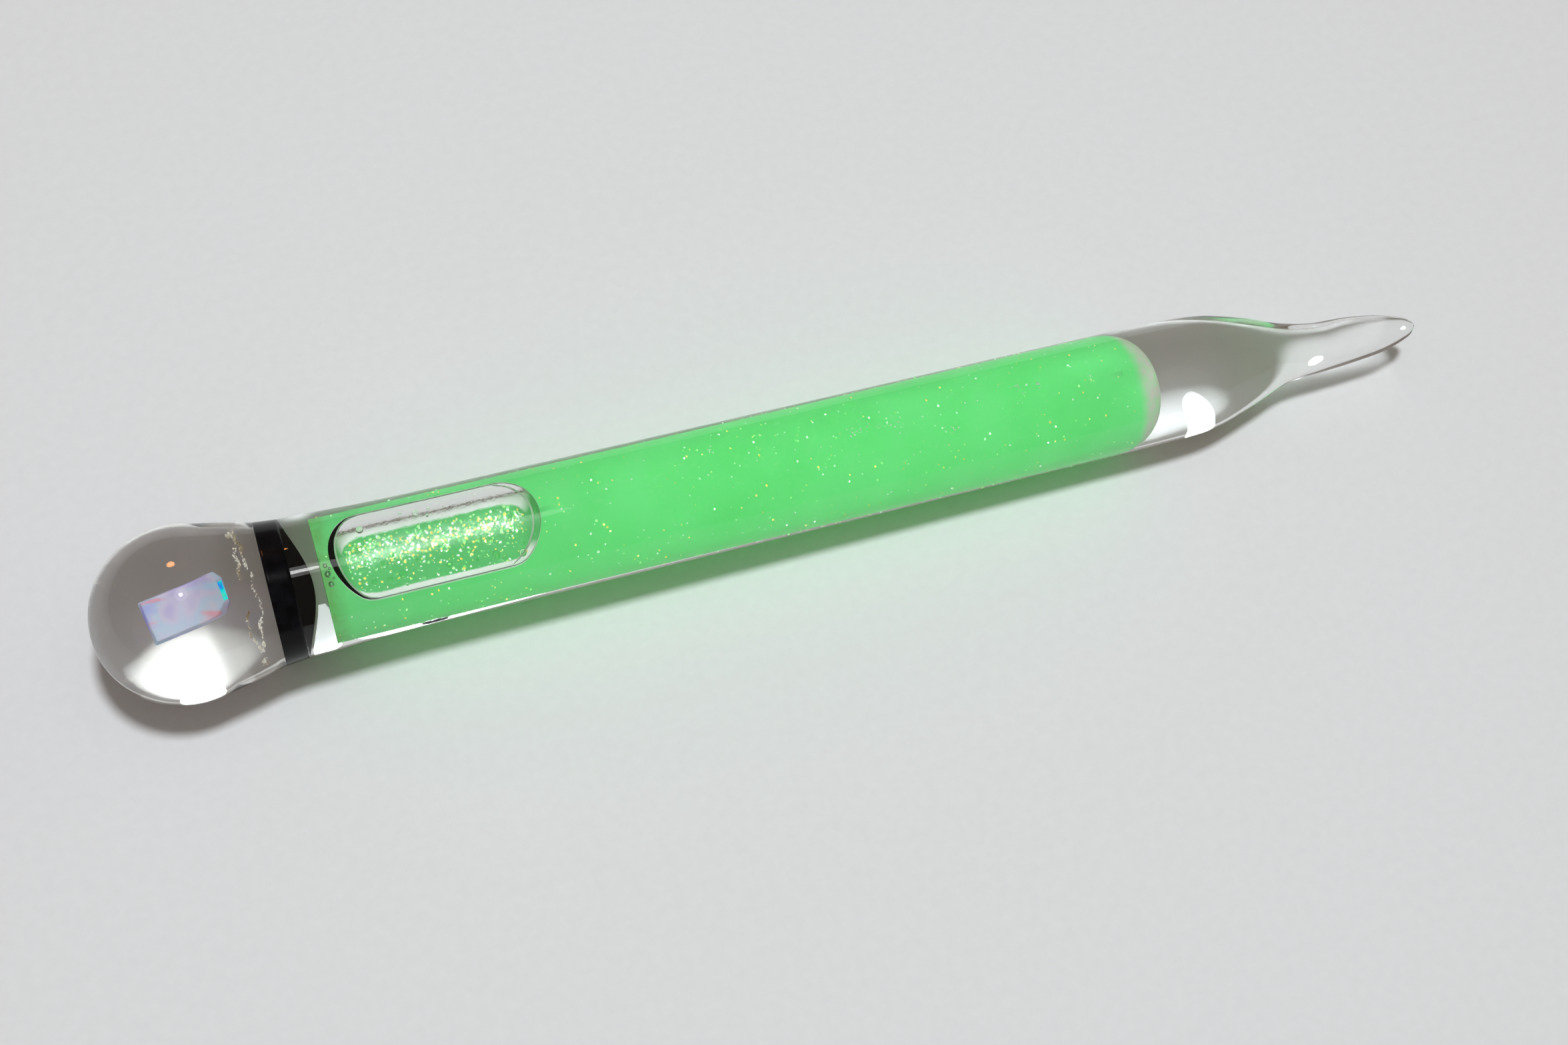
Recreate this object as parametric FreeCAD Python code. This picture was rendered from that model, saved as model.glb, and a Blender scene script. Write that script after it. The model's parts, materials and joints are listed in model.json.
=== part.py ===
import FreeCAD
import Part
import math
import os

# Sealed glass wand of a wand kaleidoscope.
# Frame: millimetres, +Z up, +X along the tube's axis towards the drawn tip.
# The origin is on the axis, half way along the straight stretch that a holder grips.

Vector = FreeCAD.Vector

# ---- driving dimensions ----
tube_radius = 6.35          # outside of the half-inch tube
wall = 2.30                 # heavy tube wall
grip_length = 70.8          # straight stretch of the tube

flare_length = 11.1         # softened stretch between the plug and the straight tube
flare_rise = 0.28           # how far the tube's end stands proud of its straight radius

plug_length = 4.95          # from the black band's flat face to the liquid
band_rim_width = 2.20       # black band at its outer edge
band_rise = 0.57            # how far the band's flat face stands proud of the tube's radius
band_taper = 0.22           # how much the band narrows over its rim
boss_height = 1.83          # how far the band's middle bulges into the plug
boss_radius = 3.75          # about the foot of that bulge

ball_radius = 8.45
neck_length = 7.90          # from the ball's centre to the band's flat face
neck_start_angle = 78.0     # where the neck leaves the ball, in degrees from the axis
waist_share = 0.70          # place of the neck's middle point along its length
waist_fullness = 0.42       # its radius, from the band's (0) to the ball's (1)
neck_end_slope = -0.18

opal_length = 6.10
opal_width = 2.80
opal_thickness = 1.90
opal_bevel = 0.55
opal_turn = 9.5             # about the vertical, in degrees
opal_lean = 22.0            # about the wand's axis, in degrees
opal_offset = Vector(0.75, 0.40, 0.25)   # from the ball's centre

dome_depth = 4.40           # rounded far end of the bore
tip_length = 36.40          # from the start of that dome to the point
tip_view_lean = 25.0        # the blade's flat side leans this far from straight up, in degrees

# the tip's ovals: place along it, width, thickness (shares of the tube's radius),
# twist in degrees, and sideways shift (share of the tube's radius)
tip_ovals = [
    (0.000, 1.000, 1.000, 0, 0.000),
    (0.035, 1.000, 1.000, 0, 0.000),
    (0.077, 0.997, 0.997, 0, 0.000),
    (0.125, 0.993, 0.990, 0, 0.000),
    (0.178, 0.987, 0.976, 2, 0.000),
    (0.231, 0.977, 0.948, 6, 0.000),
    (0.286, 0.954, 0.892, 12, -0.003),
    (0.345, 0.900, 0.800, 18, -0.010),
    (0.451, 0.735, 0.600, 22, -0.010),
    (0.558, 0.525, 0.395, 20, -0.005),
    (0.666, 0.430, 0.265, 12, 0.040),
    (0.775, 0.390, 0.205, 2, 0.035),
    (0.882, 0.315, 0.150, -8, 0.045),
    (0.963, 0.185, 0.095, -14, 0.045),
    (1.000, 0.075, 0.045, -16, 0.040),
]

bubble_length = 20.0
bubble_half_width = 3.63
bubble_floor_depth = 1.90   # below the bubble's widest level
bubble_level = 2.40         # height of the widest level above the axis
bubble_end_gap = 0.92       # from the liquid's flat end to the bubble

flake_radius = 0.20
flake_thickness = 0.06
flake_count = 60            # all colours together
flake_depth = 0.45          # from the liquid's outside to a flake's middle
flake_spread = 80.0         # how far up from the bottom a flake may lie, in degrees
flake_turn = 137.5          # from one flake's place round the tube to the next, in degrees
flake_margin = 0.80         # from the ends of the straight liquid to the nearest flake

# small bubbles beside the large one: radius, angle from straight up, distance from the flat end
satellites = [(0.28, 18.0, 0.50), (0.26, 30.0, 0.62), (0.20, 8.0, 0.45)]
satellite_depth = 0.38      # from the liquid's outside to a small bubble's middle

# ---- named clearances ----
fill_gap = 0.05             # liquid to glass
bubble_gap = 0.04           # air to liquid, and air to the film of liquid on the glass

# ---- sizes that follow ----
bore_radius = tube_radius - wall
band_radius = tube_radius + band_rise
rim_radius = band_radius - band_taper
tube_end_radius = tube_radius + flare_rise
tube_start = -grip_length / 2 - flare_length
dome_start = grip_length / 2
band_face = tube_start - plug_length
boss_foot = band_face + band_rim_width
boss_top = boss_foot + boss_height
ball_centre = band_face - neck_length
fill_radius = bore_radius - fill_gap
fill_start = tube_start + fill_gap
bubble_start = fill_start + bubble_end_gap

os.makedirs("parts", exist_ok=True)


def at(x, radius):
    """A point of a turned outline: place along the axis, and radius."""
    return Vector(x, 0, radius)


def line(start, end):
    return Part.LineSegment(start, end).toShape()


def smooth(points, start_direction, end_direction):
    """A smooth curve through the points, with a given direction at each end."""
    curve = Part.BSplineCurve()
    curve.interpolate(Points=points, InitialTangent=start_direction, FinalTangent=end_direction)
    return curve.toShape()


def quarter_oval(across, along):
    """A quarter of an oval about the origin, from (0, 0, across) to (along, 0, 0)."""
    corner = math.sqrt(0.5)
    quarter = Part.Arc(Vector(0, 0, 1), Vector(corner, 0, corner), Vector(1, 0, 0)).toShape()
    stretch = FreeCAD.Matrix()
    stretch.scale(along, 1, across)
    return quarter.transformGeometry(stretch)


def turned(edges):
    """The solid that a closed outline sweeps about the wand's axis."""
    face = Part.Face(Part.Wire(edges))
    return face.revolve(Vector(0, 0, 0), Vector(1, 0, 0), 360)


def bore_end(radius, depth):
    """Outline of the rounded far end of the bore, or of what fills it."""
    edge = quarter_oval(radius, depth)
    edge.translate(at(dome_start, 0))
    return edge


def boss_outline():
    """The band's bulging side, from its rim to the axis."""
    points = [at(boss_foot, rim_radius),
              at(boss_foot + 0.06 * boss_height, 1.18 * boss_radius),
              at(boss_foot + 0.48 * boss_height, 0.82 * boss_radius),
              at(boss_top, 0)]
    return smooth(points, Vector(0, 0, -1), Vector(0, 0, -1))


def end_ball():
    """Solid glass ball with the neck that runs up to the black band."""
    angle = math.radians(neck_start_angle)
    pole = at(ball_centre - ball_radius, 0)
    crown = at(ball_centre, ball_radius)
    shoulder = at(ball_centre + ball_radius * math.cos(angle), ball_radius * math.sin(angle))
    waist_radius = band_radius + waist_fullness * (shoulder.z - band_radius)
    waist = at(ball_centre + neck_length * waist_share, waist_radius)
    foot = at(band_face, band_radius)
    foot_centre = at(band_face, 0)
    neck = smooth([shoulder, waist, foot],
                  Vector(math.sin(angle), 0, -math.cos(angle)), Vector(1, 0, neck_end_slope))
    arc = Part.Arc(pole, crown, shoulder).toShape()
    return turned([arc, neck, line(foot, foot_centre), line(foot_centre, pole)]).cut(opal_chip())


def opal_chip():
    """Small block with one bevelled end, held inside the ball."""
    block = Part.makeBox(opal_length, opal_width, opal_thickness,
                         Vector(-opal_length / 2, -opal_width / 2, -opal_thickness / 2))
    end_edges = [edge for edge in block.Edges
                 if edge.CenterOfMass.x > 0.49 * opal_length and abs(edge.CenterOfMass.y) < 1e-6]
    block = block.makeChamfer(opal_bevel, end_edges)
    block.rotate(Vector(0, 0, 0), Vector(0, 0, 1), opal_turn)
    block.rotate(Vector(0, 0, 0), Vector(1, 0, 0), opal_lean)
    block.translate(at(ball_centre, 0) + opal_offset)
    return block


def black_band():
    """Black glass disc: flat towards the ball, bulging towards the tube."""
    face_centre = at(band_face, 0)
    face_edge = at(band_face, band_radius)
    rim = at(boss_foot, rim_radius)
    return turned([line(face_centre, face_edge), line(face_edge, rim), boss_outline(),
                   line(at(boss_top, 0), face_centre)])


def end_plug():
    """Clear glass between the black band and the liquid; it closes the tube."""
    seat_edge = at(tube_start, tube_end_radius)
    seat_centre = at(tube_start, 0)
    return turned([boss_outline(), line(at(boss_foot, rim_radius), seat_edge),
                   line(seat_edge, seat_centre), line(seat_centre, at(boss_top, 0))])


def glass_tube():
    """Heavy-wall tube, a little flared where it is fused to the plug."""
    start = at(tube_start, tube_end_radius)
    middle = at(tube_start + 0.44 * flare_length, tube_radius + 0.29 * flare_rise)
    straight = at(-grip_length / 2, tube_radius)
    end = at(dome_start, tube_radius)
    inner_end = at(dome_start, bore_radius)
    inner_start = at(tube_start, bore_radius)
    flare = smooth([start, middle, straight],
                   Vector(flare_length, 0, -2 * flare_rise), Vector(1, 0, 0))
    return turned([flare, line(straight, end), line(end, inner_end),
                   line(inner_end, inner_start), line(inner_start, start)])


def tip_section(share, width, thickness, twist, shift):
    """One closed oval across the tip."""
    points_round = 16
    turn = math.radians(tip_view_lean + twist)
    points = []
    for step in range(points_round):
        around = 2 * math.pi * step / points_round
        flat = width * tube_radius * math.cos(around)
        thick = thickness * tube_radius * math.sin(around)
        points.append(Vector(dome_start + share * tip_length,
                             flat * math.cos(turn) - thick * math.sin(turn) - shift * tube_radius,
                             flat * math.sin(turn) + thick * math.cos(turn)))
    curve = Part.BSplineCurve()
    curve.interpolate(Points=points, PeriodicFlag=True)
    return Part.Wire(curve.toShape())


def drawn_tip():
    """End of the tube: melted shut, pulled, and pinched into a slightly twisted blade."""
    outside = Part.makeLoft([tip_section(*oval) for oval in tip_ovals], True, False)
    bore = turned([line(at(dome_start, 0), at(dome_start, bore_radius)),
                   bore_end(bore_radius, dome_depth),
                   line(at(dome_start + dome_depth, 0), at(dome_start, 0))])
    return outside.cut(bore)


def bubble_space(grow):
    """Trough that a bubble under the top of the bore takes up, open at the top."""
    half_width = bubble_half_width + grow
    half_straight = bubble_length / 2 - bubble_half_width
    corner = Vector(half_width, 0, 0)
    top = Vector(0, 0, 2 * tube_radius)
    floor = quarter_oval(bubble_floor_depth + grow, half_width)
    floor.rotate(Vector(0, 0, 0), Vector(1, 0, 0), 180)
    half = Part.Face(Part.Wire([floor, line(corner, corner + top), line(corner + top, top),
                                line(top, Vector(0, 0, -bubble_floor_depth - grow))]))
    half.rotate(Vector(0, 0, 0), Vector(0, 0, 1), 90)
    other_half = half.mirror(Vector(0, 0, 0), Vector(0, 1, 0))
    far_end = half.revolve(Vector(0, 0, 0), Vector(0, 0, 1), -180)
    near_end = half.revolve(Vector(0, 0, 0), Vector(0, 0, 1), 180)
    far_end.translate(Vector(half_straight, 0, 0))
    near_end.translate(Vector(-half_straight, 0, 0))
    space = near_end.fuse(far_end)
    for side in (half, other_half):
        side.translate(Vector(-half_straight, 0, 0))
        space = space.fuse(side.extrude(Vector(2 * half_straight, 0, 0)))
    space = space.removeSplitter()
    space.translate(Vector(bubble_start + bubble_length / 2, 0, bubble_level))
    return space


def air_bubble():
    """The large bubble that runs along under the top of the bore."""
    film = Part.makeCylinder(bore_radius - bubble_gap, 2 * grip_length,
                             at(-grip_length, 0), Vector(1, 0, 0))
    return bubble_space(-bubble_gap).common(film)


def satellite_bubbles(grow):
    """Small round bubbles that follow the large one."""
    balls = []
    for radius, angle, distance in satellites:
        turn = math.radians(angle)
        out = fill_radius - satellite_depth
        middle = Vector(fill_start + distance, -out * math.sin(turn), out * math.cos(turn))
        balls.append(Part.makeSphere(radius + grow, middle))
    return Part.makeCompound(balls)


def flake(number):
    """One six-sided glitter flake; flakes are spread evenly along the liquid."""
    corners = [Vector(flake_radius * math.cos(math.pi * k / 3),
                      flake_radius * math.sin(math.pi * k / 3), -flake_thickness / 2)
               for k in range(7)]
    plate = Part.Face(Part.makePolygon(corners)).extrude(Vector(0, 0, flake_thickness))
    spin = flake_turn * number
    plate.rotate(Vector(0, 0, 0), Vector(0, 1, 0), spin % 70 - 35)
    plate.rotate(Vector(0, 0, 0), Vector(1, 0, 0), spin % 50 - 25)
    first = fill_start + flake_margin
    pitch = (dome_start - flake_margin - first) / (flake_count - 1)
    plate.translate(Vector(first + number * pitch, 0, -(fill_radius - flake_depth)))
    around = (spin % 360 / 180 - 1) * flake_spread
    plate.rotate(Vector(0, 0, 0), Vector(1, 0, 0), around)
    return plate


def flakes_of(colour):
    """Every third flake, starting at the colour's own number."""
    return Part.makeCompound([flake(number) for number in range(colour, flake_count, 3)])


def green_liquid():
    """The fill, with room for the bubbles and the glitter."""
    body = turned([line(at(fill_start, 0), at(fill_start, fill_radius)),
                   line(at(fill_start, fill_radius), at(dome_start, fill_radius)),
                   bore_end(fill_radius, dome_depth - fill_gap),
                   line(at(dome_start + dome_depth - fill_gap, 0), at(fill_start, 0))])
    body = body.cut(bubble_space(0)).cut(satellite_bubbles(bubble_gap))
    return body.cut(Part.makeCompound([flakes_of(colour) for colour in range(3)]))


pieces = {
    "end_ball": end_ball(),
    "opal_chip": opal_chip(),
    "black_band": black_band(),
    "end_plug": end_plug(),
    "glass_tube": glass_tube(),
    "drawn_tip": drawn_tip(),
    "green_liquid": green_liquid(),
    "gold_glitter": flakes_of(0),
    "silver_glitter": flakes_of(1),
    "green_glitter": flakes_of(2),
    "air_bubble": air_bubble(),
    "satellite_bubbles": satellite_bubbles(0),
}

for name, shape in pieces.items():
    print(name, "valid", shape.isValid(), "solids", len(shape.Solids), "volume", round(shape.Volume, 3))
    shape.exportStep("parts/" + name + ".step")
print("overall length", round(dome_start + tip_length - ball_centre + ball_radius, 2))
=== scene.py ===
import json
import math
import random

import bmesh
import bpy
from mathutils import Matrix, Vector, noise


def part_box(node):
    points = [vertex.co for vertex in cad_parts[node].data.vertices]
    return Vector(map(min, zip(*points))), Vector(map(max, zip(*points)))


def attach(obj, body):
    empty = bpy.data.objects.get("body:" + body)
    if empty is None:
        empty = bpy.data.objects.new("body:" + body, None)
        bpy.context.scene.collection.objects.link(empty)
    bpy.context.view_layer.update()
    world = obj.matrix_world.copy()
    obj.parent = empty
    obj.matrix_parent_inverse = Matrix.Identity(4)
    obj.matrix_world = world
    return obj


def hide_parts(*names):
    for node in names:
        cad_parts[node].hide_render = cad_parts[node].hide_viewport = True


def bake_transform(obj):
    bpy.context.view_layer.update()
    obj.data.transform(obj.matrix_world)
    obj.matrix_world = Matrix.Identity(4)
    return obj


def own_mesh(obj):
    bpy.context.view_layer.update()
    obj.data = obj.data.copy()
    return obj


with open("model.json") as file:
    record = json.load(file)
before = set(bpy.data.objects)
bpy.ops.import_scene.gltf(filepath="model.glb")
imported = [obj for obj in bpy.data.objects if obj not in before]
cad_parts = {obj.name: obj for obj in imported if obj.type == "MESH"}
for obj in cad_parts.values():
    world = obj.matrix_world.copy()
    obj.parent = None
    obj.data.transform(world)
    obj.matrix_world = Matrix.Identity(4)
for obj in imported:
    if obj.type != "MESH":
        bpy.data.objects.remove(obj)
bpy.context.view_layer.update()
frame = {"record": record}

mm = 0.001
scene = bpy.context.scene
print("glass wand: frame loaded")


def newPiece(name, verts, faces, materials, slots=None, smooth=True):
    mesh = bpy.data.meshes.new(name)
    mesh.from_pydata([tuple(v) for v in verts], [], faces)
    mesh.validate()
    for material in materials:
        mesh.materials.append(material)
    for i, face in enumerate(mesh.polygons):
        face.use_smooth = smooth
        if slots:
            face.material_index = slots[i]
    piece = bpy.data.objects.new(name, mesh)
    scene.collection.objects.link(piece)
    return piece


def ringsToFaces(ringCount, around, closed=True, first=0):
    # quads between rings of the same vertex count
    faces = []
    last = around if closed else around - 1
    for i in range(ringCount - 1):
        for j in range(last):
            a = first + i * around + j
            b = first + i * around + (j + 1) % around
            faces.append((a, b, b + around, a + around))
    return faces


def turnedShell(profile, around=128, inward=False):
    # profile: (x, radius) points, first and last on the axis; the shell is closed by a point at each end
    verts = [Vector((profile[0][0], 0, 0))]
    for x, r in profile[1:-1]:
        for j in range(around):
            a = 2 * math.pi * j / around
            verts.append(Vector((x, r * math.cos(a), r * math.sin(a))))
    verts.append(Vector((profile[-1][0], 0, 0)))
    rings = len(profile) - 2
    faces = [(0, 1 + (j + 1) % around, 1 + j) for j in range(around)]
    faces += [tuple(reversed(f)) for f in ringsToFaces(rings, around, first=1)]
    tail = len(verts) - 1
    start = 1 + (rings - 1) * around
    faces += [(tail, start + j, start + (j + 1) % around) for j in range(around)]
    if not inward:
        faces = [tuple(reversed(f)) for f in faces]
    return verts, faces


def smoothCurve(points, startSlope, endSlope, steps=10):
    # cubic pieces through (x, r) points
    slopes = [startSlope]
    for k in range(1, len(points) - 1):
        (xa, ra), (xb, rb) = points[k - 1], points[k + 1]
        slopes.append((rb - ra) / (xb - xa))
    slopes.append(endSlope)
    out = []
    for k in range(len(points) - 1):
        (xa, ra), (xb, rb) = points[k], points[k + 1]
        for s in range(steps):
            t = s / steps
            w = xb - xa
            r = ((2 * t ** 3 - 3 * t ** 2 + 1) * ra + (t ** 3 - 2 * t ** 2 + t) * w * slopes[k]
                 + (3 * t ** 2 - 2 * t ** 3) * rb + (t ** 3 - t ** 2) * w * slopes[k + 1])
            out.append((xa + w * t, r))
    out.append(points[-1])
    return out


def joined(parts):
    # several (verts, faces) shells as one list
    verts, faces = [], []
    for v, f in parts:
        base = len(verts)
        verts += list(v)
        faces += [tuple(i + base for i in face) for face in f]
    return verts, faces


def paintPoints(piece, name, values):
    # one number for each vertex, read by the piece's material
    layer = piece.data.attributes.new(name, "FLOAT", "POINT")
    layer.data.foreach_set("value", values)


def cloudyColour(nodes, links, shader, scale, detail, stops, paintedGlow=0.0):
    # the piece's own colour, wandering between a few tones; with a glow the same colour also shines as
    # painted light
    cloud = noiseNode(nodes, links, scale, detail)
    colour = rampNode(nodes, links, cloud.outputs["Fac"], stops).outputs["Color"]
    links.new(colour, shader.inputs["Base Color"])
    # painted light: the colour is also given as emission
    if paintedGlow:
        links.new(colour, shader.inputs["Emission Color"])
        shader.inputs["Emission Strength"].default_value = paintedGlow
    return cloud


def valueNode(nodes, name):
    node = nodes.new("ShaderNodeAttribute")
    node.attribute_name = name
    return node


def onAxisRing(x, radius, angle):
    # a point on a ring round the wand's axis; the angle runs from straight up towards +Y
    return Vector((x, radius * math.sin(angle), radius * math.cos(angle)))


def hexFlake(centre, normal, radius, thickness, spin):
    # a six-sided plate
    up = normal.normalized()
    side = up.orthogonal().normalized()
    side = Matrix.Rotation(spin, 3, up) @ side
    across = up.cross(side)
    verts = []
    for level in (-0.5, 0.5):
        for k in range(6):
            a = math.pi * k / 3
            verts.append(centre + (side * math.cos(a) + across * math.sin(a)) * radius
                         + up * level * thickness)
    faces = [(5, 4, 3, 2, 1, 0), (6, 7, 8, 9, 10, 11)]
    faces += [(k, (k + 1) % 6, (k + 1) % 6 + 6, k + 6) for k in range(6)]
    return verts, faces


def blob(centre, normal, radius, thickness, around=12, rings=6):
    # a flattened ball
    up = normal.normalized()
    side = up.orthogonal().normalized()
    across = up.cross(side)
    verts = [centre - up * thickness]
    for i in range(1, rings):
        b = math.pi * i / rings
        for j in range(around):
            a = 2 * math.pi * j / around
            verts.append(centre + (side * math.cos(a) + across * math.sin(a)) * radius * math.sin(b)
                         - up * thickness * math.cos(b))
    verts.append(centre + up * thickness)
    faces = [(0, 1 + (j + 1) % around, 1 + j) for j in range(around)]
    faces += ringsToFaces(rings - 1, around, first=1)
    tail = len(verts) - 1
    start = 1 + (rings - 2) * around
    faces += [(tail, start + j, start + (j + 1) % around) for j in range(around)]
    return verts, faces


def hoop(centre, normal, radius, thickness, around=20, section=8):
    # a small ring
    up = normal.normalized()
    side = up.orthogonal().normalized()
    across = up.cross(side)
    verts = []
    for i in range(around):
        a = 2 * math.pi * i / around
        out = side * math.cos(a) + across * math.sin(a)
        for j in range(section):
            b = 2 * math.pi * j / section
            verts.append(centre + out * (radius + thickness * math.cos(b)) + up * thickness * math.sin(b))
    faces = []
    for i in range(around):
        for j in range(section):
            k = (i + 1) % around
            faces.append((i * section + j, k * section + j,
                          k * section + (j + 1) % section, i * section + (j + 1) % section))
    return verts, faces


def newMaterial(name):
    material = bpy.data.materials.new(name)
    material.use_nodes = True
    nodes = material.node_tree.nodes
    return material, nodes, material.node_tree.links, nodes["Principled BSDF"]


def noiseNode(nodes, links, scale, detail=3.0, roughness=0.5, coords=None):
    if coords is None:
        coords = nodes.new("ShaderNodeTexCoord").outputs["Object"]
    tex = nodes.new("ShaderNodeTexNoise")
    tex.inputs["Scale"].default_value = scale
    tex.inputs["Detail"].default_value = detail
    tex.inputs["Roughness"].default_value = roughness
    links.new(coords, tex.inputs["Vector"])
    return tex


def rampNode(nodes, links, factor, stops):
    ramp = nodes.new("ShaderNodeValToRGB")
    links.new(factor, ramp.inputs["Fac"])
    elements = ramp.color_ramp.elements
    while len(elements) < len(stops):
        elements.new(0.5)
    for element, (place, colour) in zip(elements, stops):
        element.position = place
        element.color = (*colour, 1)
    return ramp


def mixed(nodes, links, factor, colour, other, most):
    # the colour with some of another over it; the factor picks where, most says how much
    mix = nodes.new("ShaderNodeMix")
    mix.data_type = "RGBA"
    scaled = nodes.new("ShaderNodeMath")
    scaled.operation = "MULTIPLY"
    links.new(factor, scaled.inputs[0])
    scaled.inputs[1].default_value = most
    links.new(scaled.outputs["Value"], mix.inputs["Factor"])
    links.new(colour, mix.inputs["A"])
    mix.inputs["B"].default_value = (*other, 1)
    return mix.outputs["Result"]


def bumpNode(nodes, links, height, strength, distance):
    bump = nodes.new("ShaderNodeBump")
    bump.inputs["Strength"].default_value = strength
    bump.inputs["Distance"].default_value = distance
    links.new(height, bump.inputs["Height"])
    return bump


tubeLow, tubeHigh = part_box("glass_tube")
bandLow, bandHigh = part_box("black_band")
ballLow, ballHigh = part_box("end_ball")
bubbleLow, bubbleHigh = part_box("air_bubble")

tubeRadius = frame["record"]["mounts"][0]["dims"]["r_mm"] * mm
tubeStart = tubeLow[0]
domeStart = tubeHigh[0]
bandFace = bandLow[0]
bossTop = bandHigh[0]
ballRadius = (ballHigh[2] - ballLow[2]) / 2
ballCentre = ballLow[0] + ballRadius
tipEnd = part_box("drawn_tip")[1][0]
wall = 2.30 * mm
boreRadius = tubeRadius - wall
domeDepth = 4.40 * mm
domeBlunt = 0.80            # 1 is a plain oval; less makes the dome squarer
bandRadius = bandHigh[1]
seat = 0.03 * mm            # how far one piece of glass reaches into the next
print("places read")


view = {
    "place": (-51.6 * mm, -84.1 * mm, 180.3 * mm),
    "aim": (-1.55 * mm, -4.43 * mm, -2.06 * mm),
    "roll": 15.46,          # degrees
    "lens": 47.35,
}

cameraData = bpy.data.cameras.new("view")
camera = bpy.data.objects.new("view", cameraData)
scene.collection.objects.link(camera)
scene.camera = camera
cameraData.lens = view["lens"]
cameraData.sensor_width = 36
cameraData.clip_start = 0.005
lookAt = (Vector(view["aim"]) - Vector(view["place"])).to_track_quat("-Z", "Y").to_matrix().to_4x4()
camera.matrix_world = (Matrix.Translation(view["place"]) @ lookAt
                       @ Matrix.Rotation(math.radians(view["roll"]), 4, "Z"))

studio = {
    "roomLight": (1.0, 0.82, 0.67),
    "roomStrength": 0.175,
    "paper": (0.80, 0.80, 0.80),
}

world = bpy.data.worlds.new("studio")
scene.world = world
world.use_nodes = True
world.node_tree.nodes["Background"].inputs["Color"].default_value = (*studio["roomLight"], 1)
world.node_tree.nodes["Background"].inputs["Strength"].default_value = studio["roomStrength"]


def ovalLight(name, size, power, place, colour):
    data = bpy.data.lights.new(name, "AREA")
    data.shape = "ELLIPSE"
    data.size, data.size_y = size
    data.energy = power
    data.color = colour
    light = bpy.data.objects.new(name, data)
    light.location = place
    toWand = Vector((ballCentre / 2, 0, 0)) - Vector(place)
    light.rotation_euler = toWand.to_track_quat("-Z", "Y").to_euler()
    scene.collection.objects.link(light)
    return light


# size, power, place, colour, and what shows it: matt surfaces, glass it shines through, or gloss
cool, plain, orange = (0.95, 1.0, 1.05), (1.0, 1.0, 1.0), (1.0, 0.36, 0.10)
lights = {
    "softLight": ((0.085, 0.085), 2.30, (-0.005, 0.0, 0.60), cool, "matt"),
    "throughLight": ((0.32, 0.19), 2.30, (-0.035, 0.0, 0.61), cool, "glass"),
    "broadLight": ((0.70, 0.70), 0.55, (0.0, -0.05, 0.62), cool, "matt glass"),
    "glint": ((0.055, 0.055), 0.10, (-0.017, 0.0, 0.60), plain, "gloss"),
    "halo": ((0.17, 0.17), 0.16, (-0.017, 0.0, 0.61), plain, "gloss"),
    "warmLamp": ((0.10, 0.10), 0.60, (-0.06, 0.475, 0.515), orange, "gloss"),
}
for name, (size, power, place, colour, shownBy) in lights.items():
    light = ovalLight(name, size, power, place, colour)
    light.visible_diffuse = "matt" in shownBy
    light.visible_transmission = "glass" in shownBy
    light.visible_glossy = "gloss" in shownBy

paper, nodes, links, shader = newMaterial("paleFloor")
grain = cloudyColour(nodes, links, shader, 900, 6,
                     [(0.3, tuple(c * 0.97 for c in studio["paper"])), (0.7, studio["paper"])])
shader.inputs["Roughness"].default_value = 0.9
shader.inputs["Specular IOR Level"].default_value = 0.2
links.new(bumpNode(nodes, links, grain.outputs["Fac"], 0.15, 0.0002).outputs["Normal"],
          shader.inputs["Normal"])

# the wand lies on its ball and on the shoulder where the tip starts, so the floor slopes a little
shoulderX, shoulderRadius = domeStart + 2.0 * mm, tubeRadius * 0.995
run = shoulderX - ballCentre
tilt = math.asin((ballRadius - shoulderRadius) / run)
half = 1.2
floorVerts = [Vector((x, y, 0)) for x, y in ((-half, -half), (half, -half), (half, half), (-half, half))]
floor = newPiece("floor", floorVerts, [(0, 1, 2, 3)], [paper], smooth=False)
floor.rotation_euler = (0, -tilt, 0)
lowest = Vector((ballCentre, 0, 0)) - Vector((-math.sin(tilt), 0, math.cos(tilt))) * ballRadius
floor.location = lowest
print("camera, light and floor set")


glassLook = {
    "ior": 1.47,
    "tint": (0.985, 0.995, 0.985),
    "filmScale": 2600,
    "ballShade": (0.875, 0.865, 0.835),     # the thick ball is a little darker
    "filmDepth": 0.016 * mm,
    "filmGloss": (0.22, 0.22, 0.22),
}


def clearGlass(name, film=False, shade=(1, 1, 1)):
    # with film, liquid clings to the glass and dulls and breaks up its gloss
    material, nodes, links, shader = newMaterial(name)
    shader.inputs["Transmission Weight"].default_value = 1.0
    shader.inputs["Roughness"].default_value = 0.0
    shader.inputs["IOR"].default_value = glassLook["ior"]
    tint = [c * k for c, k in zip(glassLook["tint"], shade)]
    cloudyColour(nodes, links, shader, 120, 2, [(0.2, tuple(c * 0.985 for c in tint)), (0.8, tuple(tint))])
    if film:
        shader.inputs["Specular Tint"].default_value = (*glassLook["filmGloss"], 1)
        beads = noiseNode(nodes, links, glassLook["filmScale"], 3, 0.6)
        links.new(bumpNode(nodes, links, beads.outputs["Fac"], 1.0, glassLook["filmDepth"])
                  .outputs["Normal"], shader.inputs["Normal"])
    return material


glass = clearGlass("clearGlass")
ballGlassMaterial = clearGlass("ballGlass", shade=glassLook["ballShade"])
wetGlass = clearGlass("wetGlass", True)

ballShape = {
    "neckStartAngle": 78,
    "waistPlace": 0.70,
    "waistFullness": 0.42,
    "neckEndSlope": -0.18,
}


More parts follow.
